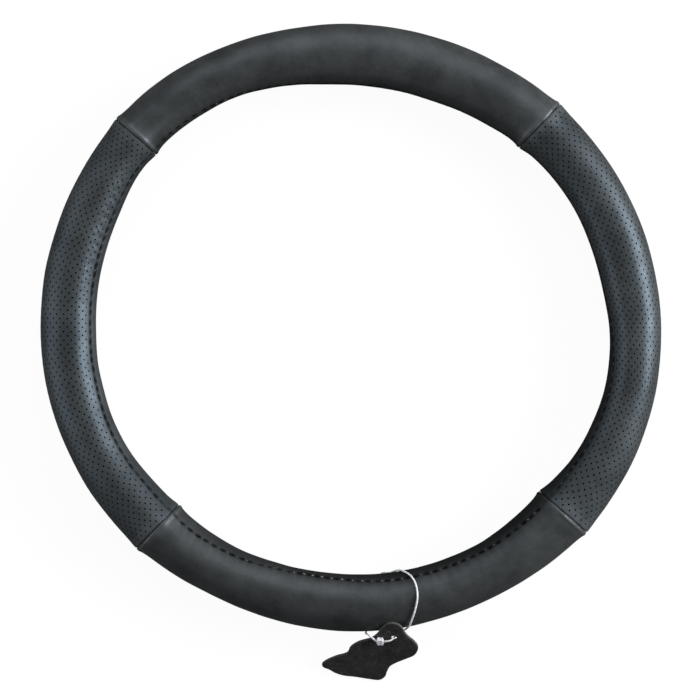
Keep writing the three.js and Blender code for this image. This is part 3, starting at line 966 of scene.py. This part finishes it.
def leather(name, dark, light, worn, rough, grain, gloss):
    """Dyed leather: mottled and pebbled and paler on its folds, with painted shade in its stitches,
    at its seams and round its lips, where it is also less glossy."""
    material, tree, shader = finish(name)
    where = place_on(tree)
    patches = cloudy(tree, where, size=22, detail=4, roughness=0.6)
    flecks = cloudy(tree, where, size=2.2, detail=3, roughness=0.6)
    mottle = added(tree, scaled(tree, patches, 0.75), scaled(tree, flecks, 0.25))
    tone = toned(tree, between(tree, mottle, 0.36, 0.64, 0, 1), dark, light)
    raised = between(tree, attribute(tree, "raised"), 0.35, 1.0, 0, 0.55)
    tone = toned(tree, raised, tone, worn)
    # Painted shade: where the leather is sunk, in the stitches' dents, grooves and seam tucks, it is
    # darkened nearly to black.
    sunk = between(tree, attribute(tree, "sunk"), 0.08, 0.7, 0, 0.92)
    tone = toned(tree, sunk, tone, [channel * 0.12 for channel in dark])
    # Painted shade: the strip round each lip and the line of the stitches are darkened, for the shade
    # where the leather turns under.
    lip = attribute(tree, "lip")
    tone = toned(tree, scaled(tree, lip, 0.85), tone, [channel * 0.22 for channel in dark])
    # Painted shade: the leather is darkened within about 0.75 mm of each seam, for the shade in its
    # groove.
    seam = between(tree, attribute(tree, "near_seam"), 0.74, 0.93, 0, 0.9)
    tone = toned(tree, seam, tone, [channel * 0.1 for channel in dark])
    tree.links.new(tone, shader.inputs["Base Color"])
    uneven = cloudy(tree, where, size=9, detail=3, roughness=0.6)
    roughness = between(tree, uneven, 0.3, 0.7, rough - 0.05, rough + 0.06)
    dull = added(tree, scaled(tree, lip, 0.25), scaled(tree, sunk, 0.3))
    roughness = added(tree, roughness, dull)
    tree.links.new(roughness, shader.inputs["Roughness"])
    grains = pebbles(tree, where, size=0.85)
    fine = cloudy(tree, where, size=0.35, detail=2, roughness=0.6)
    creases = cloudy(tree, where, size=5, detail=5, roughness=0.62)
    height = added(tree, scaled(tree, grains, 0.8), scaled(tree, fine, 0.35))
    height = added(tree, height, scaled(tree, creases, 1.6))
    bump(tree, shader, height, grain)
    # The painted shade in the dents and round the lips also lowers the gloss there.
    matt = added(tree, scaled(tree, lip, 0.36), scaled(tree, sunk, 0.2))
    tree.links.new(between(tree, matt, 0, 0.46, 0.46, 0), shader.inputs["Specular IOR Level"])
    shader.inputs["Specular Tint"].default_value = (*gloss, 1)
    return material


def dark_hole():
    # Painted shade: the holes' walls and bottoms are painted near-black for the shade deep in each
    # hole, mottled by the cut fibres.
    material, tree, shader = finish("pierced_edge_and_shade")
    fibres = cloudy(tree, place_on(tree), size=0.3, detail=2)
    tone = toned(tree, fibres, (0.003, 0.003, 0.004), (0.01, 0.011, 0.012))
    tree.links.new(tone, shader.inputs["Base Color"])
    shader.inputs["Roughness"].default_value = 0.95
    shader.inputs["Specular IOR Level"].default_value = 0.1
    return material


def thread():
    material, tree, shader = finish("waxed_thread")
    where = place_on(tree)
    plies = cloudy(tree, where, size=0.6, detail=2)
    tone = toned(tree, plies, (0.02, 0.021, 0.023), (0.06, 0.064, 0.068))
    # Painted highlight: the marked stitches are painted pale grey, for light catching them.
    tone = toned(tree, attribute(tree, "painted_thread_highlight"), tone, (0.22, 0.225, 0.235))
    tree.links.new(tone, shader.inputs["Base Color"])
    shader.inputs["Roughness"].default_value = 0.42
    bump(tree, shader, plies, depth=0.15)
    return material


def rubber():
    material, tree, shader = finish("moulded_rubber")
    where = place_on(tree)
    dust = cloudy(tree, where, size=12, detail=4, roughness=0.6)
    dusty = between(tree, dust, 0.35, 0.7, 0, 1)
    tone = toned(tree, dusty, (0.009, 0.009, 0.009), (0.02, 0.02, 0.019))
    tree.links.new(tone, shader.inputs["Base Color"])
    tree.links.new(between(tree, dust, 0.3, 0.7, 0.72, 0.86), shader.inputs["Roughness"])
    bump(tree, shader, cloudy(tree, where, size=0.5, detail=2), depth=0.04)
    return material


def suede():
    material, tree, shader = finish("sueded_leather")
    where = place_on(tree)
    nap = cloudy(tree, where, size=0.45, detail=4, roughness=0.7)
    brushed = cloudy(tree, where, size=7, detail=4, roughness=0.6)
    mottle = added(tree, scaled(tree, nap, 0.5), scaled(tree, brushed, 0.5))
    pale = between(tree, mottle, 0.38, 0.66, 0, 1)
    tone = toned(tree, pale, (0.013, 0.0132, 0.0135), (0.05, 0.05, 0.051))
    dusty = cloudy(tree, where, size=0.9, detail=3, roughness=0.7)
    tone = toned(tree, between(tree, dusty, 0.56, 0.7, 0, 0.8), tone, (0.1, 0.1, 0.1))
    scuffed = cloudy(tree, where, size=3.4, detail=4, roughness=0.65)
    tone = toned(tree, between(tree, scuffed, 0.57, 0.68, 0, 0.6), tone, (0.095, 0.095, 0.096))
    tree.links.new(tone, shader.inputs["Base Color"])
    tree.links.new(between(tree, nap, 0.3, 0.7, 0.85, 0.97), shader.inputs["Roughness"])
    shader.inputs["Specular IOR Level"].default_value = 0.2
    shader.inputs["Sheen Weight"].default_value = 0.06
    shader.inputs["Sheen Roughness"].default_value = 0.5
    bump(tree, shader, mottle, depth=0.25)
    return material


def cut_edge():
    material, tree, shader = finish("cut_edge")
    where = place_on(tree)
    fibres = cloudy(tree, where, size=0.4, detail=4, roughness=0.7)
    pale = between(tree, fibres, 0.35, 0.65, 0, 1)
    tone = toned(tree, pale, (0.025, 0.0245, 0.024), (0.1, 0.097, 0.092))
    tree.links.new(tone, shader.inputs["Base Color"])
    shader.inputs["Roughness"].default_value = 0.9
    bump(tree, shader, fibres, depth=0.15)
    return material


def milky_plastic():
    material, tree, shader = finish("milky_plastic")
    where = place_on(tree)
    haze = cloudy(tree, where, size=1.5, detail=2)
    tone = toned(tree, haze, (0.84, 0.86, 0.91), (0.92, 0.94, 0.98))
    tree.links.new(tone, shader.inputs["Base Color"])
    tree.links.new(between(tree, haze, 0.3, 0.7, 0.28, 0.4), shader.inputs["Roughness"])
    shader.inputs["IOR"].default_value = 1.5
    shader.inputs["Transmission Weight"].default_value = 0.05
    bump(tree, shader, haze, depth=0.03)
    return material


smooth_leather = leather(
    "smooth_leather", dark=(0.025, 0.0268, 0.0274), light=(0.05, 0.0542, 0.0555),
    worn=(0.074, 0.08, 0.083), rough=0.44, grain=0.045, gloss=(0.78, 0.9, 1))
pierced_leather = leather(
    "pierced_leather", dark=(0.029, 0.0318, 0.0328), light=(0.053, 0.0588, 0.0608),
    worn=(0.08, 0.09, 0.096), rough=0.43, grain=0.035, gloss=(0.6, 0.8, 1))
hole_edge_and_shade = dark_hole()

panels = [
    panel("top", False, [smooth_leather]),
    panel("left", True, [pierced_leather, hole_edge_and_shade]),
    panel("bottom", False, [smooth_leather]),
    panel("right", True, [pierced_leather, hole_edge_and_shade]),
]
waxed_thread = thread()
thread_row("front_stitches", "front", front_line, waxed_thread)
thread_row("rear_stitches", "rear", rear_line, waxed_thread)
rubber_carrier = carrier(rubber())
plastic = milky_plastic()
suede_tag = leather_tag([suede(), cut_edge()])
loop_lock = lock(plastic)
plastic_loop = loop(plastic)


# Floor, light and camera

def floor():
    """A white table. It looks less white where the leather mirrors it than to the camera."""
    half_width = 3
    under_ring = 0.0002
    shape = bmesh.new()
    bmesh.ops.create_grid(shape, x_segments=1, y_segments=1, size=half_width)
    bmesh.ops.translate(shape, verts=shape.verts, vec=(0, 0, -under_ring))
    piece = new_object("floor", mesh_of("floor", shape))
    material, tree, shader = finish("white_table")
    shader.inputs["Base Color"].default_value = (0.05, 0.05, 0.05, 1)
    shader.inputs["Roughness"].default_value = 0.9
    seen = node(tree, "ShaderNodeLightPath")
    reflected = added(tree, seen.outputs["Is Glossy Ray"], seen.outputs["Is Transmission Ray"])
    white = added(tree, seen.outputs["Is Camera Ray"], scaled(tree, reflected, 0.05))
    shader.inputs["Emission Color"].default_value = (1, 1, 1, 1)
    tree.links.new(scaled(tree, white, 0.95), shader.inputs["Emission Strength"])
    piece.data.materials.append(material)


def studio():
    world = bpy.data.worlds.new("studio")
    bpy.context.scene.world = world
    world.use_nodes = True
    tree = world.node_tree
    background = tree.nodes["Background"]
    background.inputs["Color"].default_value = (1, 1, 1, 1)
    seen = node(tree, "ShaderNodeLightPath")
    white = added(tree, seen.outputs["Is Camera Ray"], seen.outputs["Is Transmission Ray"])
    tree.links.new(scaled(tree, white, 0.94, 0.06), background.inputs["Strength"])


def lamp(name, place, size, watts):
    light = bpy.data.lights.new(name, "AREA")
    light.size = size
    light.energy = watts
    piece = bpy.data.objects.new(name, light)
    bpy.context.scene.collection.objects.link(piece)
    piece.location = place
    piece.rotation_euler = Vector(place).to_track_quat("Z", "Y").to_euler()


def camera():
    away = 2.2
    wide = 0.434
    sensor = 36
    middle = Vector((-0.00031, -0.01395, 0.0175))
    lens = bpy.data.cameras.new("camera")
    lens.sensor_width = sensor
    lens.lens = sensor * away / wide
    lens.clip_end = 20
    piece = bpy.data.objects.new("camera", lens)
    bpy.context.scene.collection.objects.link(piece)
    piece.location = middle + Vector((0, 0, away))
    bpy.context.scene.camera = piece


floor()
studio()
lamp("key", (2.17, 0.38, 0.9), size=1.35, watts=90)
lamp("fill", (0.1, 2.0, 1.5), size=2.4, watts=32)
lamp("side", (-2.0, -0.05, 0.8), size=2.0, watts=25)
camera()
bpy.context.scene.view_settings.view_transform = "Standard"
